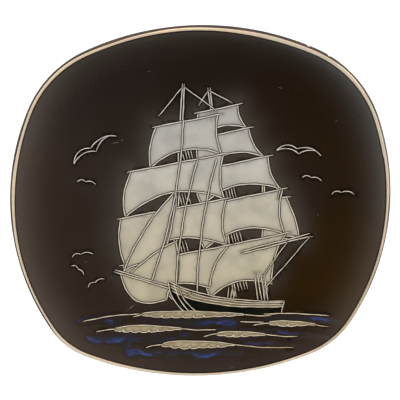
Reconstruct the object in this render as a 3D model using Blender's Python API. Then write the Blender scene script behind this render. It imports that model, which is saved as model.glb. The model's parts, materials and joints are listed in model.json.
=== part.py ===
"""Ceramic wall plate: a shallow rounded-square dish with a foot ring and two holes to hang it by.

The dish faces -Y and the wall is behind it, at +Y.
The origin is on the back of the foot ring, at its top centre, where the plate rests on the wall.
All sizes below are in millimetres and degrees.
"""
import math

import bmesh
import bpy
from mathutils import Vector

MM = 0.001
TURN = 2 * math.pi

# Outline of the rim from the front: four corner arcs, joined by four flatter side arcs.
# Each corner is given by its arc's centre, across and up from the middle of the dish, and its radius.
TOP_RIGHT_ACROSS, TOP_RIGHT_UP = 50.0, 34.5
TOP_RIGHT_RADIUS = 87.0
TOP_LEFT_ACROSS, TOP_LEFT_UP = -50.0, 34.5
TOP_LEFT_RADIUS = 85.5
BOTTOM_LEFT_ACROSS, BOTTOM_LEFT_UP = -68.5, -71.5
BOTTOM_LEFT_RADIUS = 54.5
BOTTOM_RIGHT_ACROSS, BOTTOM_RIGHT_UP = 59.5, -60.0
BOTTOM_RIGHT_RADIUS = 65.0
TOP_SIDE_RADIUS = 208.0
LEFT_SIDE_RADIUS = 180.0
BOTTOM_SIDE_RADIUS = 233.0
RIGHT_SIDE_RADIUS = 184.0

# Dish: a flat floor, and a wall that rises ever more steeply towards the lip.
FLOOR_THICKNESS = 5.5
DISH_DEPTH = 12.5
WALL_SPAN = 52.0
LIP_SLOPE = 31.0

# Lip: a small round crest, and an outer edge that leans out towards the back.
CREST_ROUND = 1.3
EDGE_LEAN = 1.3
EDGE_HEIGHT = 6.0
BACK_ROUND = 2.4
BACK_SLOPE = 31.0

# Foot ring: it runs parallel to the rim.
FOOT_HEIGHT = 8.0
FOOT_INSET = 50.0
FOOT_FACE = 6.0
FOOT_TAPER = 1.5
FOOT_BEVEL = 0.6

# Hanging holes: two round holes up through the top of the foot ring.
HOLE_DIAMETER = 4.0
HOLE_SPACING = 60.0
HOLE_REACH = 30.0

# Fineness of the faceted surface.
FACETS_AROUND = 96
WALL_STEPS = 8
ROUND_STEPS = 4
FLOOR_STEPS = 3
HOLE_FACETS = 20

# Glaze of the front and the back.
GLAZE_COLOUR = (0.018, 0.012, 0.009, 1.0)
GLAZE_ROUGHNESS = 0.42
GLAZE_METALLIC = 0.0


def side_arc_centre(first, first_radius, second, second_radius, side_radius):
    """Centre of the side arc that touches two corner arcs from outside, the corners taken counter-clockwise."""
    gap = second - first
    first_reach = side_radius - first_radius
    second_reach = side_radius - second_radius
    along = (first_reach**2 - second_reach**2 + gap.length_squared) / (2 * gap.length)
    inward = Vector((-gap.y, gap.x)) / gap.length
    return first + along * gap / gap.length + math.sqrt(first_reach**2 - along**2) * inward


def direction_of(point):
    """Angle of a point about the middle of the dish, counter-clockwise from the right."""
    return math.atan2(point.y, point.x)


def outline_arcs():
    """The eight arcs of the rim as centre, radius, first direction and last direction."""
    corners = [
        (Vector((TOP_RIGHT_ACROSS, TOP_RIGHT_UP)), TOP_RIGHT_RADIUS, TOP_SIDE_RADIUS),
        (Vector((TOP_LEFT_ACROSS, TOP_LEFT_UP)), TOP_LEFT_RADIUS, LEFT_SIDE_RADIUS),
        (Vector((BOTTOM_LEFT_ACROSS, BOTTOM_LEFT_UP)), BOTTOM_LEFT_RADIUS, BOTTOM_SIDE_RADIUS),
        (Vector((BOTTOM_RIGHT_ACROSS, BOTTOM_RIGHT_UP)), BOTTOM_RIGHT_RADIUS, RIGHT_SIDE_RADIUS),
    ]
    sides = []
    for index, (corner, radius, side_radius) in enumerate(corners):
        next_corner, next_radius, _ = corners[(index + 1) % len(corners)]
        centre = side_arc_centre(corner, radius, next_corner, next_radius, side_radius)
        start = corner + radius * (corner - centre).normalized()
        end = next_corner + next_radius * (next_corner - centre).normalized()
        sides.append((centre, side_radius, direction_of(start), direction_of(end)))
    arcs = []
    for index, (corner, radius, _) in enumerate(corners):
        arcs.append((corner, radius, sides[index - 1][3], sides[index][2]))
        arcs.append(sides[index])
    return arcs


def rim_radius(angle, arcs):
    """Distance from the middle of the dish to the rim in one direction."""
    for centre, radius, start, end in arcs:
        if (angle - start) % TURN <= (end - start) % TURN:
            along = centre.x * math.cos(angle) + centre.y * math.sin(angle)
            return along + math.sqrt(radius**2 - centre.length_squared + along**2)
    raise ValueError("the arcs of the rim leave a gap")


def rising_wall(start, end, slope):
    """Points from a flat floor to a steep end, each an inset from the rim and a depth."""
    span = start[0] - end[0]
    rise = start[1] - end[1]
    power = math.tan(math.radians(slope)) * span / rise
    steps = [step / WALL_STEPS for step in range(WALL_STEPS + 1)]
    return [(start[0] - span * t, start[1] - rise * t**power) for t in steps]


def rounded_edge(inset, depth, radius, start, end):
    """Points on an arc of the lip; the angle runs from facing the front, over facing out, to facing the wall."""
    angles = [math.radians(start + (end - start) * step / ROUND_STEPS) for step in range(ROUND_STEPS + 1)]
    return [(inset - radius * math.sin(a), depth - radius * math.cos(a)) for a in angles]


def section():
    """The plate cut through from the floor at the front, over the lip, to the underside at the back.

    Each point is an inset from the rim and a depth, with 0 at the wall and the front at negative depths.
    """
    floor = -FOOT_HEIGHT - FLOOR_THICKNESS
    crest = floor - DISH_DEPTH
    lean = math.degrees(math.atan2(EDGE_LEAN, EDGE_HEIGHT))
    crest_arc = rounded_edge(EDGE_LEAN + CREST_ROUND, crest + CREST_ROUND, CREST_ROUND, -LIP_SLOPE, 90 - lean)
    back_arc = rounded_edge(BACK_ROUND, crest + EDGE_HEIGHT, BACK_ROUND, 90, 180 - BACK_SLOPE)
    front_wall = rising_wall((WALL_SPAN, floor), crest_arc[0], LIP_SLOPE)
    back_wall = rising_wall((FOOT_INSET, -FOOT_HEIGHT), back_arc[-1], BACK_SLOPE)
    foot_front = FOOT_INSET + FOOT_TAPER
    foot_back = foot_front + FOOT_FACE
    foot = [
        (foot_front, -FOOT_BEVEL),
        (foot_front + FOOT_BEVEL, 0.0),
        (foot_back - FOOT_BEVEL, 0.0),
        (foot_back, -FOOT_BEVEL),
        (foot_back + FOOT_TAPER, -FOOT_HEIGHT),
    ]
    return front_wall + crest_arc[1:] + back_arc + back_wall[-2::-1] + foot


def middle_height(arcs):
    """Height of the middle of the dish, so that the origin is at the top centre of the foot ring's face."""
    face_centre = FOOT_INSET + FOOT_TAPER + FOOT_FACE / 2
    return face_centre - rim_radius(math.radians(90), arcs)


def add_ring(mesh, radii, angles, depth, middle):
    """One closed ring of vertices at the given depth."""
    ring = []
    for radius, angle in zip(radii, angles):
        place = Vector((radius * math.cos(angle), depth, middle + radius * math.sin(angle)))
        ring.append(mesh.verts.new(place * MM))
    return ring


def join_rings(mesh, first, second):
    """A band of four-sided faces between two rings."""
    count = len(first)
    for index in range(count):
        after = (index + 1) % count
        mesh.faces.new((first[index], second[index], second[after], first[after]))


def build_body(arcs):
    """The dish with its foot ring as one closed mesh."""
    angles = [TURN * index / FACETS_AROUND for index in range(FACETS_AROUND)]
    rims = [rim_radius(angle, arcs) for angle in angles]
    middle = middle_height(arcs)
    outer = section()
    mesh = bmesh.new()
    rings = []
    for share in range(1, FLOOR_STEPS):
        radii = [(rim - outer[0][0]) * share / FLOOR_STEPS for rim in rims]
        rings.append(add_ring(mesh, radii, angles, outer[0][1], middle))
    for inset, depth in outer:
        rings.append(add_ring(mesh, [rim - inset for rim in rims], angles, depth, middle))
    for share in range(FLOOR_STEPS - 1, 0, -1):
        radii = [(rim - outer[-1][0]) * share / FLOOR_STEPS for rim in rims]
        rings.append(add_ring(mesh, radii, angles, outer[-1][1], middle))
    for first, second in zip(rings, rings[1:]):
        join_rings(mesh, first, second)
    front = mesh.verts.new(Vector((0, outer[0][1], middle)) * MM)
    back = mesh.verts.new(Vector((0, outer[-1][1], middle)) * MM)
    for index in range(FACETS_AROUND):
        after = (index + 1) % FACETS_AROUND
        mesh.faces.new((front, rings[0][index], rings[0][after]))
        mesh.faces.new((back, rings[-1][after], rings[-1][index]))
    return mesh


def object_from(mesh, name):
    """Turn a bmesh into a named object of the scene."""
    data = bpy.data.meshes.new(name)
    mesh.to_mesh(data)
    mesh.free()
    thing = bpy.data.objects.new(name, data)
    bpy.context.scene.collection.objects.link(thing)
    return thing


def hanging_hole(name, across):
    """A hidden round cutter that stands upright in the foot ring."""
    mesh = bmesh.new()
    bmesh.ops.create_cone(
        mesh,
        cap_ends=True,
        segments=HOLE_FACETS,
        radius1=HOLE_DIAMETER / 2 * MM,
        radius2=HOLE_DIAMETER / 2 * MM,
        depth=HOLE_REACH * MM,
    )
    cutter = object_from(mesh, name)
    cutter.location = (across * MM, -FOOT_HEIGHT / 2 * MM, 0)
    cutter.hide_render = True
    cutter.display_type = "WIRE"
    return cutter


def glaze():
    """Satin black-brown glaze."""
    material = bpy.data.materials.new("black_glaze")
    material.use_nodes = True
    shader = material.node_tree.nodes["Principled BSDF"]
    shader.inputs["Base Color"].default_value = GLAZE_COLOUR
    shader.inputs["Roughness"].default_value = GLAZE_ROUGHNESS
    shader.inputs["Metallic"].default_value = GLAZE_METALLIC
    return material


def main():
    for thing in list(bpy.data.objects):
        bpy.data.objects.remove(thing, do_unlink=True)
    plate = object_from(build_body(outline_arcs()), "plate")
    plate.data.materials.append(glaze())
    for polygon in plate.data.polygons:
        polygon.use_smooth = True
    plate.data.set_sharp_from_angle(angle=math.radians(40))
    for name, across in (("hole_cutter_left", -HOLE_SPACING / 2), ("hole_cutter_right", HOLE_SPACING / 2)):
        cut = plate.modifiers.new(name, "BOOLEAN")
        cut.object = hanging_hole(name, across)
        cut.operation = "DIFFERENCE"
        cut.solver = "EXACT"


main()
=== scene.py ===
import json
import math
from functools import partial

import bpy
import numpy as np
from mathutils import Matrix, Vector, geometry

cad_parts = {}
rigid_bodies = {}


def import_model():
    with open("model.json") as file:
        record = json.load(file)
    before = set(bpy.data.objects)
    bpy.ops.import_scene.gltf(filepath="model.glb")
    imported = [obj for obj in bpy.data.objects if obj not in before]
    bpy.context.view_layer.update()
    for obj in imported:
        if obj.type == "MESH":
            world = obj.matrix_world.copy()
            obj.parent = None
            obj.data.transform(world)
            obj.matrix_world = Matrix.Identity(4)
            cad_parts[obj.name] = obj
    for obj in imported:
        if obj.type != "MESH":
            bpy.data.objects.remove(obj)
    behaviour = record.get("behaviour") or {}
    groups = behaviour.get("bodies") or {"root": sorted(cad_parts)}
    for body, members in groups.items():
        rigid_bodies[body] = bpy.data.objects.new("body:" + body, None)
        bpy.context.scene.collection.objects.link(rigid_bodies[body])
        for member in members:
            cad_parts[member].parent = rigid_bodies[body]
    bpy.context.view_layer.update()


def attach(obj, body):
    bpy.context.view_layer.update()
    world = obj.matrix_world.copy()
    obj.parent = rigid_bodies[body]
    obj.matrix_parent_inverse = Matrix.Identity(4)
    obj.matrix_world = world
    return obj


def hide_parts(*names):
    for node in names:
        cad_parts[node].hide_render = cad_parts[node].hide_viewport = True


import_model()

# %% [markdown]
# A ceramic wall plate, told as its potter would make it. A slab of cream clay is pressed over a
# rounded-square mould and gets a foot ring. The front is covered with a black glaze, the picture is scratched
# through it down to the clay, and the cells between the lines are filled with pale glazes. After the firing
# each glaze is a thin glassy skin, and the lines and the rubbed lip show the bare clay. So the pieces here
# are the clay body, and one thin closed skin for each glaze, cut out along the drawing.

# %% Units and small tools
MM = 0.001
TURN = 2 * math.pi


def linear(hex_colour):
    """An sRGB hex colour as linear RGBA: c / 12.92 below 0.04045, else ((c + 0.055) / 1.055) ^ 2.4."""
    parts = [int(hex_colour[i : i + 2], 16) / 255 for i in (0, 2, 4)]
    return (*[c / 12.92 if c <= 0.04045 else ((c + 0.055) / 1.055) ** 2.4 for c in parts], 1.0)


def smooth_step(value, low, high):
    """0 below low, 1 above high, and t t (3 - 2 t) between them."""
    t = np.clip((value - low) / (high - low), 0, 1)
    return t * t * (3 - 2 * t)


print("soft step from 0 to 1 at a quarter:", smooth_step(0.25, 0, 1))

# %% [markdown]
# The rim is a rounded square drawn with a compass: four corner arcs joined by four flatter side arcs, a
# little uneven, as a hand-cut slab is. Every other shape of the dish is measured inwards from this line, so
# its radius is found once for each direction and then looked up.

# %% Outline of the rim
# One row for each corner: its centre across and up, its radius, and the radius of the side arc after it.
CORNER_ARCS = (
    (50.0, 34.5, 87.0, 208.0),
    (-50.0, 34.5, 85.5, 180.0),
    (-68.5, -71.5, 54.5, 233.0),
    (59.5, -60.0, 65.0, 184.0),
)


def rim_arcs():
    """The eight arcs as centre, radius, first and last direction; side arcs touch the corner arcs."""
    sides = []
    for index, (across, up, radius, side) in enumerate(CORNER_ARCS):
        after = CORNER_ARCS[(index + 1) % 4]
        first, second = np.array([across, up]), np.array(after[:2])
        gap = second - first
        length = np.hypot(*gap)
        reach = side - radius
        along = (reach**2 - (side - after[2]) ** 2 + length**2) / (2 * length)
        inward = np.array([-gap[1], gap[0]]) / length
        centre = first + along * gap / length + math.sqrt(reach**2 - along**2) * inward
        start, end = [
            corner + size * (corner - centre) / np.hypot(*(corner - centre))
            for corner, size in ((first, radius), (second, after[2]))
        ]
        sides.append((centre, side, math.atan2(*start[::-1]), math.atan2(*end[::-1])))
    arcs = []
    for index, (across, up, radius, _) in enumerate(CORNER_ARCS):
        arcs.append((np.array([across, up]), radius, sides[index - 1][3], sides[index][2]))
        arcs.append(sides[index])
    return arcs


TABLE_ANGLES = np.linspace(0, TURN, 2880, endpoint=False)
TABLE_RADII = np.zeros_like(TABLE_ANGLES)
for centre, radius, start, end in rim_arcs():
    inside = (TABLE_ANGLES - start) % TURN <= (end - start) % TURN
    along = centre[0] * np.cos(TABLE_ANGLES) + centre[1] * np.sin(TABLE_ANGLES)
    reach = along + np.sqrt(np.maximum(radius**2 - centre @ centre + along**2, 0))
    TABLE_RADII = np.where(inside, reach, TABLE_RADII)


def rim_radius(angle):
    """Distance from the middle of the dish to the rim, in millimetres."""
    return np.interp(angle % TURN, TABLE_ANGLES, TABLE_RADII, period=TURN)


print("rim radius from", round(TABLE_RADII.min(), 1), "to", round(TABLE_RADII.max(), 1), "mm")

# %% [markdown]
# The section of the dish is the same all round: a flat floor, a wall that rises ever more steeply, the lip,
# an outer edge that leans out, and the back that follows the front down to the foot ring. The glaze was
# rubbed off the lip, which left a flat land nearly 2 mm wide with a tight corner outside it. Insets are
# measured inwards from the rim, depths from the wall behind the plate.

# %% Section of the dish
FOOT_HEIGHT = 8.0
FLOOR = -FOOT_HEIGHT - 5.5
CREST = FLOOR - 12.5
WALL_SPAN = 52.0
SLOPE = math.radians(31.0)
CREST_ROUND = 1.3
EDGE_LEAN = 1.3
EDGE_HEIGHT = 6.0
BACK_ROUND = 2.4
FOOT_INSET = 50.0
FOOT_TAPER = 1.5
FOOT_FACE = 6.0
FOOT_BEVEL = 0.6
FOOT_BACK = FOOT_INSET + FOOT_TAPER + FOOT_FACE
RECESS = FOOT_BACK + FOOT_TAPER
MIDDLE = FOOT_INSET + FOOT_TAPER + FOOT_FACE / 2 - float(rim_radius(np.array(math.pi / 2)))
LEAN = math.atan2(EDGE_LEAN, EDGE_HEIGHT)
WALL_END = (
    EDGE_LEAN + CREST_ROUND + CREST_ROUND * math.sin(SLOPE),
    CREST + CREST_ROUND - CREST_ROUND * math.cos(SLOPE),
)
CORNER_ROUND = 0.6
CORNER_INSET = 1.85
LAND_END = 3.6
FRONT_POINTS = 60
CREST_POINTS = 12
EDGE_POINTS = 5


def rise(start, end, inset):
    """Depth of a wall at an inset: start + height t^p, t from 0 to 1 and p such that it ends at SLOPE."""
    span = start[0] - end[0]
    height = end[1] - start[1]
    power = math.tan(SLOPE) * span / abs(height)
    t = np.clip((start[0] - inset) / span, 0, None)
    return start[1] + height * t**power


def front_depth(inset):
    """Depth of the clay's front at an inset: the wall, and outside LAND_END the straight land."""
    wall = rise((WALL_SPAN, FLOOR), WALL_END, inset)
    share = (inset - CORNER_INSET) / (LAND_END - CORNER_INSET)
    land = CREST + share * (rise((WALL_SPAN, FLOOR), WALL_END, LAND_END) - CREST)
    return np.where(inset > LAND_END, wall, land)


def arc(inset, depth, radius, start, end, count):
    """Points of a rounded edge; the angle runs from facing the front, over facing out, to facing the wall."""
    a = np.linspace(start, end, count)
    return np.stack([inset - radius * np.sin(a), depth - radius * np.cos(a)], 1)


def section():
    """Points of the whole section as insets and depths, from the floor in front to the underside."""
    front_inset = np.linspace(WALL_SPAN, LAND_END, FRONT_POINTS)
    front_inset = np.append(front_inset, (LAND_END + CORNER_INSET) / 2)
    front = np.stack([front_inset, front_depth(front_inset)], 1)
    crest = arc(CORNER_INSET, CREST + CORNER_ROUND, CORNER_ROUND, 0.0, math.pi / 2 - LEAN, CREST_POINTS)
    edge = np.linspace(crest[-1], [0, CREST + EDGE_HEIGHT], EDGE_POINTS + 2)[1:-1]
    back = arc(BACK_ROUND, CREST + EDGE_HEIGHT, BACK_ROUND, math.pi / 2, math.pi - SLOPE, 10)
    back_inset = np.linspace(back[-1, 0], FOOT_INSET, 32)[1:]
    back_wall = np.stack([back_inset, rise((FOOT_INSET, -FOOT_HEIGHT), back[-1], back_inset)], 1)
    bevel = np.array([(0.0, -FOOT_BEVEL), (FOOT_BEVEL * 0.3, -FOOT_BEVEL * 0.3), (FOOT_BEVEL, 0.0)])
    foot_front = bevel + (FOOT_INSET + FOOT_TAPER, 0.0)
    foot_back = (bevel * (-1, 1))[::-1] + (FOOT_BACK, 0.0)
    recess = [[RECESS, -FOOT_HEIGHT]]
    return np.concatenate([front, crest, edge, back, back_wall, foot_front, foot_back, recess])


SECTION = section()
print("section of", len(SECTION), "points, middle of the dish at z", round(MIDDLE, 2), "mm")

# %% [markdown]
# One function turns any grid of points into a mesh object. The dish and its back glaze are grids of direction
# by section point, closed round the turn and closed over the middle.

# %% Making meshes
AROUND = 360
ANGLES = np.linspace(0, TURN, AROUND, endpoint=False)
RIM = rim_radius(ANGLES)


def mesh_object(name, points, faces):
    """An object named name on body root, from points in millimetres and faces as index rows."""
    data = bpy.data.meshes.new(name)
    data.from_pydata((np.asarray(points) * MM).tolist(), [], faces)
    data.validate()
    data.polygons.foreach_set("use_smooth", np.ones(len(data.polygons), bool))
    data.set_sharp_from_angle(angle=math.radians(38))
    made = bpy.data.objects.new(name, data)
    bpy.context.scene.collection.objects.link(made)
    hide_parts("plate")
    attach(made, "root")
    return made


def ring_points(insets, depths):
    """Grid of points: radius = rim - inset in each direction, at the given depths."""
    radius = RIM - insets.reshape(len(depths), -1)
    deep = np.broadcast_to(depths.reshape(len(depths), -1), radius.shape)
    return np.stack([radius * np.cos(ANGLES), deep, MIDDLE + radius * np.sin(ANGLES)], -1)


def band_faces(rows, closed=False):
    """Faces between the rows of a grid that goes all round, and from the last row to the first if closed."""
    first = np.arange(rows if closed else rows - 1)[:, None] * AROUND
    second = (first + AROUND) % (rows * AROUND)
    here = np.arange(AROUND)
    after = (here + 1) % AROUND
    return np.stack([first + here, second + here, second + after, first + after], -1).reshape(-1, 4).tolist()


print("the bands between 3 rows have", len(band_faces(3)), "faces")

# %% [markdown]
# The clay body is the whole plate: a pressed slab whose foot ring was added at the leather-hard stage. The
# surface is swept round by its section, because that is how a template shapes it on the mould.

# %% Clay body
def capped_solid(name, profile, cap_rows=8):
    """A closed solid from a section: rings shrink to the middle from its first and from its last point."""
    shares = np.linspace(1, 0, cap_rows + 1)[1:-1, None]
    caps = [
        ring_points(RIM - (RIM - inset) * shares, np.full(len(shares), depth))
        for inset, depth in (profile[0], profile[-1])
    ]
    rows = np.concatenate([caps[0][::-1], ring_points(profile[:, 0], profile[:, 1]), caps[1]])
    middles = [[0, profile[0, 1], MIDDLE], [0, profile[-1, 1], MIDDLE]]
    points = np.concatenate([rows.reshape(-1, 3), middles])
    here = np.arange(AROUND)
    after = (here + 1) % AROUND
    last = (len(rows) - 1) * AROUND
    faces = band_faces(len(rows))
    front = len(points) - 2
    for middle, first, second in ((front, here, after), (front + 1, last + after, last + here)):
        faces += np.stack([np.full(AROUND, middle), first, second], 1).tolist()
    return mesh_object(name, points, faces)


clay_body = capped_solid("clay_body", SECTION)
print("clay body:", len(clay_body.data.polygons), "faces")

# %% [markdown]
# The picture is drawn in millimetres on the flat front of the dish, across and up from its middle. Every
# scratched line is a stroke: a slot of bare clay with a burr on both sides, a thin margin of torn black glaze
# that the pale glaze shrinks back from. Shapes are laid down in painter's order, so a nearer sail hides what
# is behind it.

# %% Drawing tools
FIELD, PALE, BUFF, HULL, SEA, CLAY, BURR = range(7)
LINE = 0.8
FINE = 0.64
MARGIN = 0.56
MAST = 1.7
shapes = []
beside = []


def bowed(start, end, bow=0.0, step=1.8):
    """Points on a shallow curve: start + chord t + 4 bow t (1 - t) of the chord's length to its left."""
    start, end = np.array(start, float), np.array(end, float)
    chord = end - start
    count = max(2, round(float(np.hypot(*chord)) / (step if bow else 2.5 * step))) + 1
    t = np.linspace(0, 1, count)[:, None]
    return start + chord * t + np.array([-chord[1], chord[0]]) * 4 * bow * t * (1 - t)


def side_of(points):
    """Unit normals to the left of a line of points, and the distance walked along it."""
    along = np.gradient(points, axis=0)
    along /= np.linalg.norm(along, axis=1, keepdims=True)
    walked = np.concatenate([[0], np.cumsum(np.linalg.norm(np.diff(points, axis=0), axis=1))])
    return np.stack([-along[:, 1], along[:, 0]], 1), walked


def by_hand(points, amount=0.16):
    """The line as a hand draws it: two slow waves move it sideways, with a phase from where it starts."""
    normal, walked = side_of(points)
    phase = points[0] @ np.array([1.7, 2.3])
    sway = np.sin(walked / 5.3 + phase) + 0.5 * np.sin(walked / 2.1 + 2 * phase)
    return points + normal * (amount * sway)[:, None]


def ribbon(points, half_width, taper=0.9):
    """Closed outline of a stroke: the line moved to both sides by half its width, which swells and tapers."""
    normal, walked = side_of(points)
    room = np.minimum(walked, walked[-1] - walked)
    swell = 1 + 0.14 * np.sin(walked / 1.9 + points[0, 0])
    half = half_width * swell * np.sqrt(np.clip(room / taper + 0.2, 0, 1))
    side = normal * half[:, None]
    return np.concatenate([points - side, (points + side)[::-1]])


def lay(panels=(), lines=(), width=LINE, margin=MARGIN):
    """Adds panels as (glaze, outline), the burrs of all lines, their bare cores, and points beside them."""
    drawn = [by_hand(np.asarray(line)) for line in lines]
    for line in drawn if panels else ():
        normal, _ = side_of(line)
        beside.extend(line + normal * away for away in (-2.4, -1.4, 1.4, 2.4))
    shapes.extend((glaze, np.asarray(outline)) for glaze, outline in panels)
    shapes.extend((BURR, ribbon(line, width / 2 + margin)) for line in drawn if margin)
    shapes.extend((CLAY, ribbon(line, width / 2)) for line in drawn)


def pair(start, end, gap):
    """Two parallel lines, as a mast, a yard or a stay is drawn."""
    start, end = np.array(start, float), np.array(end, float)
    chord = end - start
    off = np.array([-chord[1], chord[0]]) / np.hypot(*chord) * gap / 2
    return [bowed(start + off, end + off), bowed(start - off, end - off)]


def joined(*parts):
    """Several curves end to end as one outline."""
    return np.concatenate([part[:-1] for part in parts])


def curves(*rows):
    """Curves from rows of start across, start up, end across, end up and bow."""
    return [bowed(row[:2], row[2:4], *row[4:]) for row in rows]


print("scratched lines", LINE, "and", FINE, "mm wide")

# %% [markdown]
# The ship is a plain textbook full-rigger seen from her bow, heading left: three masts, square sails that
# belly to the left, jibs over a bowsprit. It is built by rule from the height of the yards and their reach.

# %% Ship: square sails
def rig(foot, head, tilt, yards, last_yard=True, belly=0.09, roach=0.16, shrouds=()):
    """One mast with its square sails; a yard is its height on the mast and its reach to the left and right.

    The sides of a sail bow to the left by belly and its foot arches up by roach.
    """
    foot, head = np.array(foot, float), np.array(head, float)
    slope = np.array([math.cos(math.radians(tilt)), math.sin(math.radians(tilt))])
    lay(lines=pair(foot, head, MAST))
    middles = [foot + (head - foot) * (yard[0] - foot[1]) / (head[1] - foot[1]) for yard in yards]
    for index in range(len(yards) - 1):
        (_, left, right), (_, low_left, low_right) = yards[index], yards[index + 1]
        middle, low = middles[index], middles[index + 1]
        if index in shrouds:
            bases = [low + slope * share for share in (4.0, 6.2, 8.4, 10.6)]
            lay(lines=[bowed(base, base + np.array([-2.5, 10.0])) for base in bases], width=FINE, margin=0.26)
        corners = [middle - slope * left, middle + slope * right]
        corners.append(low + slope * min(right + 9, low_right - 1.5))
        corners.append(low - slope * min(left + 3, low_left - 1.5))
        bows = (0.0, -belly, -roach, belly)
        edges = [bowed(corners[side], corners[(side + 1) % 4], bow) for side, bow in enumerate(bows)]
        lay([(PALE, joined(*edges))], edges[1:])
    for index, (middle, (_, left, right)) in enumerate(zip(middles, yards)):
        if index < len(yards) - 1 or last_yard:
            lay(lines=[bowed(middle - slope * (left + 3.5), middle + slope * (right + 4))])


MIZZEN_YARDS = (-1, 3, 17), (-33, 4, 33)
MAIN_YARDS = (67, 10, 20), (48, 12, 26), (24, 16, 38), (-3, 18, 46), (-37, 20, 45), (-74, 20, 31)
FORE_YARDS = (58, 19, 28), (27, 37, 34), (-8, 43, 38), (-45, 40, 42), (-76, 22, 30)
rig((50, -80), (47, 12), 4, MIZZEN_YARDS, belly=-0.05, roach=0.08)
rig((26, -78), (6, 84), 12, MAIN_YARDS, last_yard=False, shrouds=(2, 3, 4))
lay(lines=pair((30, -43), (83, -29), 1.9))
rig((-21, -68), (-13, 87), 11, FORE_YARDS, last_yard=False, shrouds=(0, 1, 2))
print(len(shapes), "shapes after the masts and square sails")

# %% [markdown]
# Jibs are three-cornered sails with a hollow leech, between the foremast and the bowsprit. Stays run on over
# the square sails as single lines, and so do the long braces of the yards.

# %% Ship: jibs and stays
for tack, peak, clew in (((-59, -58), (-20, 4), (-33, -52)), ((-56, -62), (-19, -34), (-22, -80))):
    edges = [bowed(tack, peak, 0.05), bowed(peak, clew, 0.07), bowed(clew, tack, -0.12)]
    lay([(PALE, joined(*edges)[::-1])], edges)
spritsail = curves((-61, -59, -26, -80, -0.3), (-26, -80, -22, -69, 0.1), (-22, -69, -61, -59))
lay([(PALE, joined(*spritsail))], spritsail[:2])
lay(lines=pair((-21, -71), (-66, -57), 1.6))
lay(lines=curves((-13, 60, -38, -66, 0.04), (-2, 30, -19, -70, -0.03), (12, 30, -3, -75, -0.03)))
stays = (-13, 85, -32, 62), (-13, 85, 12, 66), (6, 82, -2, 70), (6, 82, 24, 72)
braces = (83, -30, 48, -72), (66, -34, 44, -66), (60, 8, 58, -2)
lay(lines=curves(*stays, *braces), width=FINE)
print(len(shapes), "shapes after the jibs and stays")

# %% [markdown]
# The hull shows her bow and her long side, black with buff bands below the rail. Foam hides her waterline.

# %% Ship: hull
def hull_line(drop):
    """The rail, a cubic curve with four control points, moved down the side, half as far at the stern."""
    a, b, c, d = np.array([(-25, -65), (-4, -77), (30, -82), (64, -81)], float)
    t = np.linspace(0, 1, 26)[:, None]
    curve = a * (1 - t) ** 3 + 3 * b * t * (1 - t) ** 2 + 3 * c * t**2 * (1 - t) + d * t**3
    return curve + np.stack([drop * np.linspace(0.35, -0.14, 26), -drop * np.linspace(1, 0.5, 26)], 1)


rail, upper, between, lower = [hull_line(drop) for drop in (0, 2.4, 5.2, 8.0)]
stem = bowed((-25, -65), (-8, -93), -0.12)
side = joined(stem, bowed((-8, -93), (61, -92)), bowed((61, -92), (64, -81)), rail[::-1])
planks = [rail, upper, between, lower, stem, *curves((-20.5, -67, -3.5, -93, -0.11), (64, -81, 61, -92))]
lay([(HULL, side), (BUFF, joined(upper, lower[::-1]))], planks, width=0.72, margin=0.3)
lay(lines=curves((-16.5, -71, 1, -92, -0.1), (-13, -77, -6, -74)), width=FINE)
shrouds = [(x, -81.5, x - 3.5, -58) for x in (44, 46.5, 49, 51.5)]
shrouds += [(x, -81, x + 1.5, -70) for x in (20, 22.5, 25)]
lay(lines=curves(*shrouds), margin=0.3)
print(len(shapes), "shapes after the hull")

# %% [markdown]
# The sea is drawn in the same way: long scratched lines, foam caps with a row of curls along their lower
# edge, and broad brush strokes of cobalt between them. A few short dabs were set on them with a full brush.

# %% Sea
def foam_cap(left, right, level, height, curls, tail_left, tail_right):
    """A lens of foam, fullest left of its middle; its lower edge is a trochoid, whose loops are the curls.

    The trochoid is x = s - 1.5 r sin(turn) and y = 0.13 height cos(turn), with one turn for each curl.
    """
    share = np.linspace(0, 1, 30)
    swell = np.sin(math.pi * share**0.7) ** 0.75
    top = np.stack([left + (right - left) * share, level + 0.40 * height * swell], 1)
    turn = np.linspace(0, TURN * curls, 12 * curls + 1)
    tall = height * np.interp(turn / turn[-1], share, swell)
    roll = 1.5 * (right - left) / turn[-1] * np.sin(turn) - 0.12 * tall * np.cos(turn)
    across = left + (right - left) * turn / turn[-1] - roll
    low = np.stack([across, level - (0.30 - 0.13 * np.cos(turn)) * tall], 1)
    lay([(BUFF, np.concatenate([low, top[::-1]]))], [top, low], width=FINE, margin=0.16)
    tails = [(left - tail_left, level - 2.0, left + 1, level, 0.03)]
    tails.append((right - 1, level, right + tail_right, level - 0.8, -0.02))
    lay(lines=curves(*tails), width=FINE)


def brush(start, end, width, bow):
    """A wash of cobalt: a broad ribbon with ragged sides and thin ends."""
    points = by_hand(bowed(start, end, bow), 0.3)
    normal, walked = side_of(points)
    t = walked / walked[-1]
    ragged = 1 + 0.16 * np.sin(walked / 3.7) + 0.1 * np.sin(walked / 1.3)
    side = normal * (width / 2 * (0.3 + 0.7 * np.sin(math.pi * t**0.6)) * ragged)[:, None]
    shapes.append((SEA, np.concatenate([points - side, (points + side)[::-1]])))


for *ends, width, bow in (
    (-96, -96, -20, -95, 10.0, 0.02),
    (-30, -98, 66, -98, 10.0, 0.01),
    (48, -94, 106, -95, 9.0, 0.01),
    (-88, -108, -10, -110, 10.0, -0.02),
    (-18, -107, 98, -107, 9.0, 0.01),
    (-60, -118, -20, -122, 8.0, -0.03),
    (-30, -123, 44, -122, 8.0, 0.02),
    (28, -117, 74, -114, 8.0, 0.02),
):
    brush(ends[:2], ends[2:], width, bow)

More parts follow.
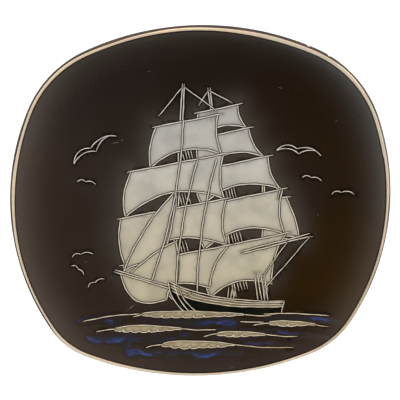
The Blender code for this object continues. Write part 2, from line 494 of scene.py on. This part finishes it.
dabs = []
for *ends, bow in (
    (-82, -94.5, -68, -96.5, 0.10),
    (-44, -98.0, -33, -97.0, -0.12),
    (13, -98.5, 25, -97.5, 0.10),
    (-88, -106.0, -76, -110.5, -0.15),
    (-72, -111.5, -60, -110.0, -0.08),
    (-8, -103.5, 4, -104.5, 0.10),
    (60, -104.0, 73, -105.5, -0.10),
    (-47, -118.0, -38, -121.5, -0.15),
    (-4, -122.5, 10, -121.5, -0.10),
    (34, -114.5, 47, -115.5, 0.12),
    (86, -93.5, 95, -94.5, 0.10),
):
    line = bowed(ends[:2], ends[2:], bow, step=0.9)
    dabs.append(line)
    shapes.append((SEA, ribbon(line, 0.7)))
    beside.extend(line + side_of(line)[0] * away for away in (-1.5, 0.0, 1.5))
dabs = np.concatenate(dabs)

swells = (-90, -96, -46, -91, 0.02), (48, -91, 98, -91, 0.01), (30, -97, 60, -98.5, 0.01)
lay(lines=curves(*swells), width=FINE)
foam_cap(-46, 34, -91.5, 6.4, 10, 6, 20)
foam_cap(52, 88, -98, 4.8, 5, 12, 10)
foam_cap(-66, -14, -102.5, 6.4, 8, 14, 26)
foam_cap(12, 50, -106.5, 4.8, 6, 10, 24)
foam_cap(-30, 27, -114.5, 6.8, 8, 12, 44)
print(len(shapes), "shapes after the sea")

# %% [markdown]
# Gulls are the two-stroke birds that everyone draws. The big ones have a second stroke for the wing's rear.

# %% Gulls
def gull(across, up, span, tilt, double=False):
    """A bird as two arched wings; the tips are half a span to both sides, turned by tilt degrees."""
    cosine, sine = math.cos(math.radians(tilt)), math.sin(math.radians(tilt))
    tip, dip, rear = (-span / 2, -0.08 * span), (-0.05 * span, 0.0), (0.0, -0.11 * span)
    wings = [bowed(tip, dip, 0.25, 1.0), bowed(dip, (span / 2, -0.09 * span), 0.17, 1.0)]
    if double:
        wings += [bowed(tip, rear, 0.18, 1.2), bowed(rear, (0.36 * span, 0.0), 0.12, 1.2)]
    rotation = np.array([[cosine, sine], [-sine, cosine]])
    lay(lines=[wing @ rotation + (across, up) for wing in wings], width=FINE)


left_birds = (-81, 39, 39, 34, True), (-86, 12, 14, -8), (-90, -44, 16, 9)
low_birds = (-93, -56, 12, -38), (-80, -66, 14, 28)
right_birds = (74, 37, 34, -6, True), (84, 15, 15, -10), (107, 4, 17, 3)
for bird in left_birds + low_birds + right_birds:
    gull(*bird)
print(len(shapes), "shapes in the drawing")

# %% [markdown]
# Years on a wall leave a few fine scuffs, where something hard has taken the glaze off. They are far narrower
# than the scratched lines, so they read as faint pale marks.

# %% Scuffs
SCUFFS = (
    (-66.5, 41.5, -61.0, 42.3),
    (-60.0, 44.0, -58.2, 44.6),
    (100.6, 58.8, 101.8, 59.6),
    (88.0, -13.4, 89.2, -12.8),
    (-56.5, -88.6, -50.0, -83.4),
    (-49.0, -82.0, -46.6, -80.6),
    (-88.5, -50.6, -86.8, -49.8),
    (58.0, 84.0, 60.6, 83.4),
    (-40.0, 96.0, -37.0, 96.4),
    (22.0, -131.0, 25.0, -130.6),
)
lay(lines=curves(*SCUFFS), width=0.24, margin=0.0)
print(len(SCUFFS), "scuffs")

# %% [markdown]
# The lines of the drawing become the edges of a flat net of triangles. A triangle belongs to the topmost
# shape that its middle lies in, so each glaze gets its own clean cut-out. Rings of extra points let the net
# bend up the wall, and a fine grid of them near the ship carries the grey haze round the sails.

# %% Plan of the front
GLAZE_INSET = 3.4
WANDER = (1, 0.11, 2.47), (2, 0.22, 1.18), (3, 0.17, -2.69), (4, 0.21, -2.0), (6, 0.16, 0.03), (7, 0.14, 1.76)


def glaze_edge(angle):
    """Inset of the glaze's edge: GLAZE_INSET + waves amount cos(count angle - phase) + one step."""
    waves = sum(amount * np.cos(count * angle - phase) for count, amount, phase in WANDER)
    return GLAZE_INSET + waves + 0.5 * smooth_step(angle, 0.23, 0.26) * (1 - smooth_step(angle, 0.3, 1.0))


def round_points(count, more=0.0, inset=None):
    """Points all round the dish, at an inset from the rim, or else at the glaze's edge and more inwards."""
    angle = np.linspace(0, TURN, count, endpoint=False)
    radius = rim_radius(angle) - (glaze_edge(angle) + more if inset is None else inset)
    return np.stack([radius * np.cos(angle), radius * np.sin(angle)], 1)


def covers(outline, points):
    """Which points lie in a closed outline, by its winding number."""
    ax, ay = outline.T[:, None]
    bx, by = np.roll(outline, -1, 0).T[:, None]
    x, y = points.T[:, :, None]
    cross = (bx - ax) * (y - ay) - (x - ax) * (by - ay)
    rising = (ay <= y) & (by > y) & (cross > 0)
    falling = (by <= y) & (ay > y) & (cross < 0)
    return rising.sum(1) != falling.sum(1)


rim_loop = round_points(480)
wall_rings = [round_points(480, more) for more in (0.6, 1.2)]
wall_rings += [round_points(240, inset=inset) for inset in (7, 10, 13.5, 17.5, 22, 27, 33, 40, 48)]
grid = np.stack(np.meshgrid(np.arange(-100, 104, 3.2), np.arange(-100, 92, 3.2)), -1).reshape(-1, 2)
grid = grid + np.stack([0.5 * np.sin(grid[:, 1]), 0.5 * np.cos(grid[:, 0])], 1)
loops = [rim_loop] + [outline for _, outline in shapes]
edges, start = [], 0
for loop in loops:
    here = np.arange(len(loop))
    edges += (start + np.stack([here, (here + 1) % len(loop)], 1)).tolist()
    start += len(loop)
points = np.concatenate(loops + wall_rings + [grid] + beside)
found = geometry.delaunay_2d_cdt(points.tolist(), edges, [], 0, 1e-4, False)
plan, net = np.array([tuple(point) for point in found[0]]), np.array(found[2])
middles = plan[net].mean(1)
owner = np.full(len(net), -1)
owner[covers(rim_loop, middles)] = FIELD
for glaze, outline in shapes:
    low, high = outline.min(0), outline.max(0)
    near = np.flatnonzero(np.all((middles >= low) & (middles <= high), 1) & (owner >= 0))
    if len(near):
        owner[near[covers(outline, middles[near])]] = glaze
print("net of", len(net), "triangles, for each glaze", np.bincount(owner[owner >= 0]))

# %% [markdown]
# Each glaze is a skin of its own, a few tenths of a millimetre thick. The black one is level; the pale ones
# were flooded into their cells, so they stand proud in the middle of a cell and run down to its edge.

# %% Glaze skins of the front
plan_angle = np.arctan2(plan[:, 1], plan[:, 0])
plan_inset = rim_radius(plan_angle) - np.hypot(plan[:, 0], plan[:, 1])
clay_depth = front_depth(plan_inset)


def nearest(points, targets):
    """Distance from each point to the nearest target, worked out in slices."""
    out = np.empty(len(points))
    for start in range(0, len(points), 2000):
        gap = points[start : start + 2000, None] - targets[None]
        out[start : start + 2000] = np.sqrt((gap**2).sum(-1).min(1))
    return out


def skin(name, glaze, edge_lift, rise_by=0.0, reach=1.0, sink=0.35):
    """Closed skin on one glaze's triangles: lift = edge + rise (1 - exp(-distance to its edge / reach)).

    Its walls stand on the border: the edges that only one triangle has.
    """
    used, faces = np.unique(net[owner == glaze], return_inverse=True)
    faces = faces.reshape(-1, 3)
    directed = faces[:, [0, 1, 1, 2, 2, 0]].reshape(-1, 2)
    key = directed.min(1) * (faces.max() + 1) + directed.max(1)
    _, index, times = np.unique(key, return_index=True, return_counts=True)
    border = directed[index[times == 1]]
    flat = plan[used]
    from_edge = nearest(flat, flat[np.unique(border)]) if rise_by else np.zeros(len(flat))
    lift = edge_lift + rise_by * (1 - np.exp(-from_edge / reach))
    top = np.stack([flat[:, 0], clay_depth[used] - lift, flat[:, 1] + MIDDLE], 1)
    bottom = top.copy()
    bottom[:, 1] = clay_depth[used] + sink
    count = len(used)
    walls = np.stack([border[:, 1], border[:, 0], border[:, 0] + count, border[:, 1] + count], 1)
    closed = faces.tolist() + (faces[:, ::-1] + count).tolist() + walls.tolist()
    made = mesh_object(name, np.concatenate([top, bottom]), closed)
    print(name, len(made.data.polygons), "faces")
    return made, used, from_edge


def store(made, name, values):
    """Stores one number for each point of the top on its mesh; the hidden bottom gets the same."""
    layer = made.data.attributes.new(name, "FLOAT", "POINT")
    layer.data.foreach_set("value", np.concatenate([values, values]).astype(np.float32))


on_burr = np.unique(net[owner == BURR])
owner[owner == BURR] = FIELD
black_front, on_black, _ = skin("black_glaze_front", FIELD, 0.14)
sails, on_sails, sails_in = skin("pale_glaze_sails", PALE, 0.13, 0.16, 1.1)
foam, _, foam_in = skin("buff_glaze_foam", BUFF, 0.13, 0.12, 0.8)
hull_skin, _, _ = skin("dark_glaze_hull", HULL, 0.14, 0.05, 0.8)
sea, on_sea, sea_in = skin("cobalt_strokes", SEA, 0.14, 0.05, 0.8)
store(sails, "thin", np.exp(-sails_in / 1.0))
store(foam, "thin", np.exp(-foam_in / 0.8))
store(sea, "strength", smooth_step(sea_in, 0.0, 2.6))
store(sea, "dabs", np.exp(-((nearest(plan[on_sea], dabs) / 0.75) ** 2)))
turned = plan_angle[on_black]
below_lip = plan_inset[on_black] - glaze_edge(turned % TURN)
store(black_front, "edge", 1 - smooth_step(below_lip, 0.4, 1.1))
store(black_front, "burr", np.isin(on_black, on_burr))
glassy = 0.2 * smooth_step(np.cos(turned - 1.2), 0.1, 0.4) + 0.8 * np.exp(-(((turned - 0.84) / 0.21) ** 2))
store(black_front, "glassy", glassy * np.exp(-np.maximum(below_lip - 1.5, 0) / 4))
haze = np.exp(-((nearest(plan[on_black], plan[on_sails][::3]) / 10.5) ** 1.5))
store(black_front, "haze", haze * (0.3 + 0.7 * smooth_step(plan[on_black, 1], -95, -35)))

# %% [markdown]
# The black glaze also covers the outer edge, the back and the recess inside the foot ring. It stops at a
# wandering line near the lip's corner, laps over it at the left and right, and was wiped further down the
# edge in a few places, most at the top right. The foot's face is wiped, or it would stick to the kiln shelf.

# %% Glaze skins of the back
EDGE_END = FRONT_POINTS + 1 + CREST_POINTS + EDGE_POINTS
FOOT_BARE = 5
LIP = SECTION[FRONT_POINTS - 1 : EDGE_END + 1]
LIP_WALKED = np.concatenate([[0], np.cumsum(np.hypot(*np.diff(LIP, axis=0).T))])
LIP_WALKED -= LIP_WALKED[CREST_POINTS + 1]


def swept_skin(name, insets, depths, lift=0.2, sink=0.3):
    """Closed skin along part of the section: the line moved out by lift, less at its ends, and in by sink."""
    step = np.stack([np.gradient(insets, axis=0), np.gradient(depths, axis=0)], -1)
    step /= np.linalg.norm(step, axis=-1, keepdims=True)
    out_inset, out_depth = -step[..., 1], step[..., 0]
    walked = np.arange(len(insets))
    full = lift * np.clip(np.minimum(walked, walked[-1] - walked) / 2.0, 0.12, 1)[:, None]
    outside = ring_points(insets + out_inset * full, depths + out_depth * full)
    inside = ring_points(insets - out_inset * sink, depths - out_depth * sink)
    grid = np.concatenate([outside, inside[::-1]])
    return mesh_object(name, grid.reshape(-1, 3), band_faces(len(grid), closed=True))


begin = 0.1 * np.sin(4 * ANGLES + 2) + 0.1 * np.sin(17 * ANGLES)
begin -= 0.65 * smooth_step(np.cos(ANGLES - 3.28), 0.76, 0.86)
begin -= 0.5 * smooth_step(np.cos(ANGLES + 0.22), 0.93, 0.98)
for place, width, wiped in (
    (0.16, 0.08, 0.25),
    (0.70, 0.09, 2.2),
    (1.71, 0.14, 1.5),
    (2.07, 0.10, -0.2),
    (2.40, 0.16, 0.9),
    (3.80, 0.14, -0.45),
):
    begin += wiped * np.exp(-(((ANGLES - place) / width) ** 2))
share = np.linspace(0, 1, 16)[:-1, None] ** 1.6
along_edge = begin + (LIP_WALKED[-1] - begin) * share
edge_inset = np.interp(along_edge, LIP_WALKED, LIP[:, 0])
edge_depth = np.interp(along_edge, LIP_WALKED, LIP[:, 1])
behind = SECTION[EDGE_END:-FOOT_BARE]
skin_inset = np.concatenate([edge_inset, np.repeat(behind[:, :1], AROUND, 1)])
skin_depth = np.concatenate([edge_depth, np.repeat(behind[:, 1:], AROUND, 1)])
outer_glaze = swept_skin("black_glaze_back", skin_inset, skin_depth)
recess_profile = [
    (RECESS + 0.5, -FOOT_HEIGHT - 0.4),
    (RECESS - 0.4, -FOOT_HEIGHT - 0.4),
    (FOOT_BACK - 0.35, -1.4),
    (FOOT_BACK + 0.05, -1.0),
    (FOOT_BACK + 0.25, -1.4),
    (RECESS + 0.15, -FOOT_HEIGHT + 0.6),
    (RECESS + 0.8, -FOOT_HEIGHT + 0.15),
]
recess_glaze = capped_solid("black_glaze_recess", np.array(recess_profile))
print("edge glaze begins", round(begin.min(), 2), "to", round(begin.max(), 2), "mm from the lip's corner")

# %% [markdown]
# Two holes go up through the top of the foot ring, for the cord or wire that the plate hangs by. A hidden
# upright cutter for each, the drill, goes through the clay and through the glaze on both sides of the ring.

# %% Hanging holes
HOLE_DIAMETER = 4.0
HOLE_SPACING = 60.0
HOLE_FACETS = 40
turn = np.linspace(0, TURN, HOLE_FACETS, endpoint=False)
circle = HOLE_DIAMETER / 2 * np.stack([np.cos(turn), np.sin(turn)], 1)
here = np.arange(HOLE_FACETS)
after = (here + 1) % HOLE_FACETS
sides = np.stack([here, after, after + HOLE_FACETS, here + HOLE_FACETS], 1).tolist()
for across in (-HOLE_SPACING / 2, HOLE_SPACING / 2):
    hole = circle + (across, -FOOT_HEIGHT / 2)
    points = np.concatenate([np.insert(hole, 2, height, axis=1) for height in (-15.0, 15.0)])
    data = bpy.data.meshes.new("drill")
    data.from_pydata((points * MM).tolist(), [], sides + [here[::-1].tolist(), (here + HOLE_FACETS).tolist()])
    drill = bpy.data.objects.new("drill", data)
    bpy.context.scene.collection.objects.link(drill)
    drill.hide_render = True
    drill.hide_viewport = True
    drill.display_type = "WIRE"
    for piece in (clay_body, outer_glaze, recess_glaze):
        cut = piece.modifiers.new("hanging_hole", "BOOLEAN")
        cut.object = drill
        cut.operation = "DIFFERENCE"
        cut.solver = "EXACT"
    print("hole", HOLE_DIAMETER, "mm wide at", across, "mm across")

# %% [markdown]
# Each material is a real pottery finish, built from nodes that read the piece's own space. One helper adds a
# node with its settings and links, so each recipe reads from the pattern to the colour. The colour and the
# relief that it ends with go on a list, and the dressing connects them.

# %% Material tools
finishes = []


def add_node(tree, kind, inputs=None, out=0, stops=(), **settings):
    """Adds a node and returns one output; an input takes a number, a hex colour or another output."""
    made = tree.nodes.new("ShaderNode" + kind)
    for name, value in settings.items():
        setattr(made, name, value)
    for name, value in (inputs or {}).items():
        if isinstance(value, bpy.types.NodeSocket):
            tree.links.new(value, made.inputs[name])
        else:
            made.inputs[name].default_value = linear(value) if isinstance(value, str) else value
    for index, (position, colour) in enumerate(stops):
        elements = made.color_ramp.elements
        element = elements[index] if index < 2 else elements.new(position)
        element.position = position
        element.color = linear(colour)
    return made.outputs[out]


def new_material(name, **values):
    """A material, add_node for its tree, and object coordinates; values are fixed numbers of the shader."""
    made = bpy.data.materials.new(name)
    made.use_nodes = True
    for key, value in values.items():
        made.node_tree.nodes["Principled BSDF"].inputs[key.replace("_", " ")].default_value = value
    add = partial(add_node, made.node_tree)
    return made, add, add("TexCoord", out="Object")


print("linear value of a mid grey:", round(linear("808080")[0], 3))

# %% [markdown]
# Cream earthenware, biscuit fired and left bare. It is dry and chalky, so it is rough and hardly reflects.
# The scratched lines are clean and pale, and warmer low down, where iron has tinged them. The lip and the
# foot were handled and wiped, so they are stained buff in clouds of a few centimetres, with yellower and
# pinker patches of 7 mm. Their colour is also lighter towards the top, greyer at the right and darkest at the
# lower right, and a darker tan on the outer side of the lip's crest. Depth tells them apart: the lines lie on
# the floor of the dish, the lip and the foot do not. Iron specks are under a millimetre wide.

# %% Bare clay
clay, add, where = new_material("cream_earthenware_bisque", Roughness=0.8, IOR=1.5, Specular_IOR_Level=0.25)
depth = add("SeparateXYZ", {"Vector": where}, "Y")
stains, flush, specks, grit = [
    add("TexNoise", {"Vector": where, "Scale": 1 / (size * MM), "Detail": detail})
    for size, detail in ((17, 3.0), (7, 4.0), (0.8, 1.0), (1.1, 2.0))
]
# By place on the plate: the lip lighter towards the top, greyer at the right and darker at the lower right.
place, lower, darker_lower_right, greyed = [
    add("VectorMath", {0: where, 1: direction}, 1, operation="DOT_PRODUCT")
    for direction in ((0.3, 0.0, 1.0), (1.5, 0.0, -6.0), (1.0, 0.0, -0.6), (1.0, 0.0, 1.0))
]
on_lip, on_foot, on_edge, darker_lower_right, greyed, dots = [
    add("MapRange", {"Value": value, "From Min": low, "From Max": high, "To Max": most})
    for value, low, high, most in (
        (depth, -16 * MM, -22 * MM, 1.0),
        (depth, -10 * MM, -8 * MM, 1.0),
        (depth, -25 * MM, -24.2 * MM, 0.8),
        (darker_lower_right, 0.196, 0.212, 1.0),
        (greyed, 0.07, 0.10, 1.0),
        (specks, 0.67, 0.74, 0.7),
    )
]
stained = add("Math", {0: on_lip, 1: on_foot}, operation="MAXIMUM")
on_edge = add("Math", {0: on_edge, 1: on_lip}, operation="MULTIPLY")
greyed = add("Math", {0: greyed, 1: stained}, operation="MULTIPLY")
clouds = add("Math", {0: stains, 1: 0.8, 2: place}, operation="MULTIPLY_ADD")
buff_stain = add("ValToRGB", {0: clouds}, stops=((0.10, "ecdfcc"), (0.30, "ead9c2"), (0.48, "f6e4ca")))
flush = add("ValToRGB", {0: flush}, stops=((0.42, "f4f5e6"), (0.58, "fcf0ec")))
tone = add("Mix", {0: lower, 6: "fff5ea", 7: "ffeccd"}, 2, data_type="RGBA")
for mask, colour, blend in (
    (stained, buff_stain, "MIX"),
    (on_edge, "b8976f", "MIX"),
    (stained, flush, "MULTIPLY"),
    (darker_lower_right, "e6dfd4", "MULTIPLY"),
    (greyed, "f3f8ff", "MULTIPLY"),
    (dots, "8a6e50", "MIX"),
):
    tone = add("Mix", {0: mask, 6: tone, 7: colour}, 2, data_type="RGBA", blend_type=blend)
finishes.append((clay, tone, grit, 0.08, {}))
print(clay.name, len(clay.node_tree.nodes), "nodes")

# %% [markdown]
# Manganese black glaze, poured and fired to a satin gloss. It is almost black with a brown cast, darkest at
# the top. To the right and low down it is thin and turns amber-brown, up to the bottom where it ran together
# again. At the lower left its colour is painted lighter, a painted sheen. Its own soft sheen shows only on
# the rising wall, warm but for the upper right. The mesh stores the rest: a lighter grey haze round the upper
# sails, the dull brown film of the last millimetre below the lip, the torn, dull black burr beside each
# scratched line, and the glassier roll below the lip at the top right.

# %% Black glaze
black, add, where = new_material("manganese_black_glaze", IOR=1.5, Specular_IOR_Level=0.4)
across, up = [add("SeparateXYZ", {"Vector": where}, axis) for axis in "XZ"]
haze, edge, burr, glassy = [
    add("Attribute", out="Fac", attribute_name=name) for name in ("haze", "edge", "burr", "glassy")
]
drift, patches, ripple = [
    add("TexNoise", {"Vector": where, "Scale": 1 / (size * MM), "Detail": detail})
    for size, detail in ((60, 2.0), (22, 3.0), (14, 2.0))
]
upper_right, lower_left_sheen = [
    add("VectorMath", {0: where, 1: direction}, 1, operation="DOT_PRODUCT")
    for direction in ((1.0, 0.0, 0.7), (-1.0, 0.0, -0.6))
]
rightward, downward, run_off, darker_top, lower_left_sheen, upper_right = [
    add("MapRange", {"Value": value, "From Min": low, "From Max": high, "To Max": most})
    for value, low, high, most in (
        (across, -0.10, 0.12, 0.5),
        (up, -0.085, -0.15, 0.26),
        (up, -0.15, -0.18, 0.4),
        (up, -0.045, 0.015, 0.45),
        (lower_left_sheen, 0.12, 0.17, 0.45),
        (upper_right, 0.05, 0.10, 1.0),
    )
]
burr = add("Math", {0: burr, 1: 0.85}, operation="MULTIPLY")
thin = add("Math", {0: rightward, 1: downward}, operation="ADD")
thin = add("Math", {0: thin, 1: run_off}, operation="SUBTRACT")
thin = add("Math", {0: drift, 1: 0.5, 2: thin}, operation="MULTIPLY_ADD")
browns = (0.22, "352b26"), (0.5, "2b2019"), (0.72, "2a1c0b"), (0.98, "321f05")
tone = add("ValToRGB", {0: thin}, stops=browns)
# The lighter colour at the lower left is a painted sheen; the colour also darkens towards the top.
layers = (darker_top, "150f0b"), (lower_left_sheen, "3d3125"), (haze, "4c463e"), (edge, "1d130c"), (burr, "0d0a08")
for mask, colour in layers:
    tone = add("Mix", {0: mask, 6: tone, 7: colour}, 2, data_type="RGBA")
tint = add("Mix", {0: upper_right, 6: "fff2e0", 7: "f4fafa"}, 2, data_type="RGBA")
dull = add("Math", {0: edge, 1: burr}, operation="MAXIMUM")
shine = add("MapRange", {"Value": glassy, "To Min": 0.38, "To Max": 1.0})
shine = add("Mix", {0: dull, 2: shine, 3: 0.08})
gloss = add("MapRange", {"Value": patches, "To Min": 0.22, "To Max": 0.32})
links = {"Specular Tint": tint, "Specular IOR Level": shine, "Roughness": gloss}
finishes.append((black, tone, ripple, 0.12, links))
print(black.name, len(black.node_tree.nodes), "nodes")

# %% [markdown]
# The same manganese glaze on the edge and the back was wiped on with a sponge. It is browner, drier and
# nearly without gloss, with dabs of about a centimetre, and the edge shows as a dark brown line outside the
# pale lip. At the left it lies heavier and is nearly black. Two knocks at the top right chipped it down to
# the clay, 2 mm wide.

# %% Sponged glaze of the edge and back
sponged, add, where = new_material(
    "manganese_black_glaze_sponged", IOR=1.5, Specular_IOR_Level=0.12, Roughness=0.6
)
dabs = add("TexNoise", {"Vector": where, "Scale": 1 / (9 * MM), "Detail": 3.0})
tone = add("ValToRGB", {0: dabs}, stops=((0.35, "35271b"), (0.65, "463525")))
layers = [(add("SeparateXYZ", {"Vector": where}, "X"), -0.09, -0.13, "1b130d")]
for turn in (0.855, 0.972):
    out = float(rim_radius(np.array(turn))) + 0.1
    chip = Vector((out * math.cos(turn), CREST + EDGE_HEIGHT - 1.5, MIDDLE + out * math.sin(turn))) * MM
    gap = add("VectorMath", {0: where, 1: chip}, 1, operation="DISTANCE")
    layers.append((gap, 1.3 * MM, 0.9 * MM, "e3d2ba"))
for value, low, high, colour in layers:
    mask = add("MapRange", {"Value": value, "From Min": low, "From Max": high})
    tone = add("Mix", {0: mask, 6: tone, 7: colour}, 2, data_type="RGBA")
finishes.append((sponged, tone, dabs, 0.1, {}))
print(sponged.name, len(sponged.node_tree.nodes), "nodes")

# %% [markdown]
# Tin white glaze, flooded thickly into the cells. It is opaque, grey-white high up and warmer low down where
# it lies thicker, and cloudy over one or two centimetres. Within a millimetre of a cell's edge it thins out,
# so the black below shows through and each cell seems to have a soft dark outline.

# %% White glaze
white, add, where = new_material("tin_white_glaze", IOR=1.5, Specular_IOR_Level=0.4, Roughness=0.35)
up = add("SeparateXYZ", {"Vector": where}, "Z")
up = add("MapRange", {"Value": up, "From Min": -0.155, "From Max": -0.005})
puffs, ripple = [
    add("TexNoise", {"Vector": where, "Scale": 1 / (size * MM), "Detail": detail})
    for size, detail in ((16, 3.0), (6, 2.0))
]
wash = (0.0, "d3c7a8"), (0.35, "d9cfb8"), (0.7, "d6d0c5"), (1.0, "cac8c0")
wash = add("ValToRGB", {0: up}, stops=wash)
cloud = add("ValToRGB", {0: puffs}, stops=((0.33, "c9cbce"), (0.5, "ececeb"), (0.64, "ffffff")))
tone = add("Mix", {0: 0.5, 6: wash, 7: cloud}, 2, data_type="RGBA", blend_type="MULTIPLY")
thin = add("Attribute", out="Fac", attribute_name="thin")
thin = add("MapRange", {"Value": thin, "To Max": 0.42})
tone = add("Mix", {0: thin, 6: tone, 7: "4f4a42"}, 2, data_type="RGBA")
finishes.append((white, tone, ripple, 0.08, {}))
print(white.name, len(white.node_tree.nodes), "nodes")

# %% [markdown]
# Buff glaze for the foam and the hull's bands: the white one tinted with iron and brushed on once, a dull
# sandy grey-brown with streaks of the brush 3 to 4 mm apart.

# %% Buff glaze
buff, add, where = new_material("buff_iron_glaze", IOR=1.5, Specular_IOR_Level=0.35, Roughness=0.4)
streaks = add("TexNoise", {"Vector": where, "Scale": 1 / (4 * MM), "Detail": 3.0})
tone = add("ValToRGB", {0: streaks}, stops=((0.35, "a39370"), (0.65, "c2b28e")))
thin = add("Attribute", out="Fac", attribute_name="thin")
thin = add("MapRange", {"Value": thin, "To Max": 0.5})
tone = add("Mix", {0: thin, 6: tone, 7: "3a3225"}, 2, data_type="RGBA")
finishes.append((buff, tone, streaks, 0.06, {}))
print(buff.name, len(buff.node_tree.nodes), "nodes")

# %% [markdown]
# Copper black glaze fills the hull. It lies thick and glossy, nearly black with a green cast.

# %% Hull glaze
hull_black, add, where = new_material("copper_black_glaze", IOR=1.5, Specular_IOR_Level=0.4, Roughness=0.25)
pools = add("TexNoise", {"Vector": where, "Scale": 1 / (11 * MM)})
tone = add("ValToRGB", {0: pools}, stops=((0.35, "0c0f08"), (0.65, "1b1b10")))
finishes.append((hull_black, tone, pools, 0.08, {}))
print(hull_black.name, len(hull_black.node_tree.nodes), "nodes")

# %% [markdown]
# Cobalt oxide is brushed over the unfired black glaze and sinks into it, so most of it is only a blue-black
# wash. It shows blue in thin streaks, drawn out along the brush to about 15 by 2.5 mm, where the brush left
# more of it, and most in the dabs.

# %% Cobalt brushwork
cobalt, add, where = new_material("cobalt_brushwork", IOR=1.5, Specular_IOR_Level=0.4, Roughness=0.33)
streak = (1 / (15 * MM), 1 / (15 * MM), 1 / (2.6 * MM))
marks = add("VectorMath", {0: where, 1: streak}, operation="MULTIPLY")
marks = add("TexNoise", {"Vector": marks, "Scale": 1.0, "Detail": 3.0, "Distortion": 0.6})
blue = add("ValToRGB", {0: marks}, stops=((0.48, "2e2a25"), (0.60, "2b3048"), (0.72, "364280")))
wet, strength = [add("Attribute", out="Fac", attribute_name=name) for name in ("dabs", "strength")]
full = add("MapRange", {"Value": marks, "From Min": 0.3, "From Max": 0.6})
wet = add("Math", {0: wet, 1: full}, operation="MULTIPLY")
blue = add("Mix", {0: wet, 6: blue, 7: "445296"}, 2, data_type="RGBA")
tone = add("Mix", {0: strength, 6: "2e2012", 7: blue}, 2, data_type="RGBA")
finishes.append((cobalt, tone, marks, 0.05, {}))
print(cobalt.name, len(cobalt.node_tree.nodes), "nodes")

# %% [markdown]
# The colour, the relief with its depth in millimetres, and what else varies are connected to the shader, and
# each piece gets its material.

# %% Dressing the pieces
for material, tone, height, deep, more in finishes:
    tree = material.node_tree
    relief = add_node(tree, "Bump", {"Height": height, "Distance": deep * MM})
    for name, value in {"Base Color": tone, "Normal": relief, **more}.items():
        tree.links.new(value, tree.nodes["Principled BSDF"].inputs[name])
pieces = clay_body, black_front, outer_glaze, recess_glaze, sails, foam, hull_skin, sea
for piece, material in zip(pieces, (clay, black, sponged, sponged, white, buff, hull_black, cobalt)):
    piece.data.materials.append(material)
print(len(bpy.data.materials), "materials")

# %% [markdown]
# A pale floor lies a metre below the plate, wide enough to fill every view. It is plain matt paper with a
# faint cloudiness, because a perfectly even floor looks like a cut-out.

# %% Floor
floor_data = bpy.data.meshes.new("floor")
floor_data.from_pydata([(-12, -0.25, -1), (12, -0.25, -1), (12, 16, -1), (-12, 16, -1)], [], [(0, 1, 2, 3)])
floor = bpy.data.objects.new("floor", floor_data)
bpy.context.scene.collection.objects.link(floor)
paper, add, where = new_material("white_paper", Roughness=0.9, Specular_IOR_Level=0.1)
fibres = add("TexNoise", {"Vector": where, "Scale": 1 / (30 * MM)})
tone = add("ValToRGB", {0: fibres}, stops=((0.4, "f6f6f6"), (0.6, "f9f9f9")))
paper.node_tree.links.new(tone, paper.node_tree.nodes["Principled BSDF"].inputs["Base Color"])
floor_data.materials.append(paper)
print("floor", [round(side, 1) for side in floor.dimensions], "m")

# %% [markdown]
# In the photograph the floor of the dish reflects something dark and its rising wall something bright, more
# so the steeper it is. So the studio is a white room with a dark opening in front of the plate, as when a
# dark cloth hangs there, and a white table below. The sideways and the upward or downward distance of a
# direction from the opening are raised to a power and added, which gives a diamond with round corners, and
# the light grows with that sum.

# %% Soft light
ROOM_LIGHT = 1.5
TABLE_LIGHT = 2.0
BEHIND_LIGHT = 1.1
BACKGROUND = 1.2
world = bpy.data.worlds.new("studio")
world.use_nodes = True
add = partial(add_node, world.node_tree)
across, along, up = [add("SeparateXYZ", {"Vector": add("TexCoord")}, axis) for axis in "XYZ"]
distances = []
for axis, grow, shift, side, power in (
    (across, 1.26, 0.015, "ABSOLUTE", 1.34),
    (up, 0.86, 0.11, "MAXIMUM", 1.8),
    (up, -0.78, -0.125, "MAXIMUM", 1.34),
):
    away = add("Math", {0: axis, 1: grow, 2: shift}, operation="MULTIPLY_ADD")
    away = add("Math", {0: away, 1: 0.0}, operation=side)
    distances.append(add("Math", {0: away, 1: power}, operation="POWER"))
aside, above, level = distances
table = {"Value": up, "From Min": -0.88, "From Max": -1.0, "To Max": TABLE_LIGHT}
table = add("MapRange", table, interpolation_type="SMOOTHSTEP")
for operation, value in (
    ("MAXIMUM", above),
    ("ADD", aside),
    ("POWER", 3.12),
    ("MULTIPLY", ROOM_LIGHT),
    ("MINIMUM", 1.6 * ROOM_LIGHT),
    ("ADD", table),
):
    level = add("Math", {0: level, 1: value}, operation=operation)
behind = add("MapRange", {"Value": along, "From Max": 0.3})
for mask, light in ((behind, BEHIND_LIGHT), (add("LightPath"), BACKGROUND)):
    level = add("Mix", {0: mask, 2: level, 3: light})
background = world.node_tree.nodes["Background"].inputs
background["Color"].default_value = (1, 1, 1, 1)
world.node_tree.links.new(level, background["Strength"])
bpy.context.scene.world = world
bpy.context.scene.view_settings.view_transform = "Standard"
print("room light", ROOM_LIGHT, "and table light", TABLE_LIGHT)

# %% [markdown]
# The outer edge shows above the lip and not below it, so the photograph was taken from a little above. The
# angle that makes the outline and the edge match is about 12 degrees, from about five widths away.

# %% Camera
ELEVATION = math.radians(12.4)
DISTANCE = 1.5
VIEW_WIDTH = 0.3003
target = Vector((-0.0006, -0.022, (MIDDLE - 0.1) * MM))
camera_data = bpy.data.cameras.new("camera")
camera_data.sensor_width = 36
camera_data.lens = camera_data.sensor_width * DISTANCE / VIEW_WIDTH
camera = bpy.data.objects.new("camera", camera_data)
camera.location = target + DISTANCE * Vector((0, -math.cos(ELEVATION), math.sin(ELEVATION)))
camera.rotation_euler = (target - camera.location).to_track_quat("-Z", "Y").to_euler()
bpy.context.scene.collection.objects.link(camera)
bpy.context.scene.camera = camera
print("camera at", [round(part, 3) for part in camera.location], "lens", round(camera_data.lens, 1), "mm")
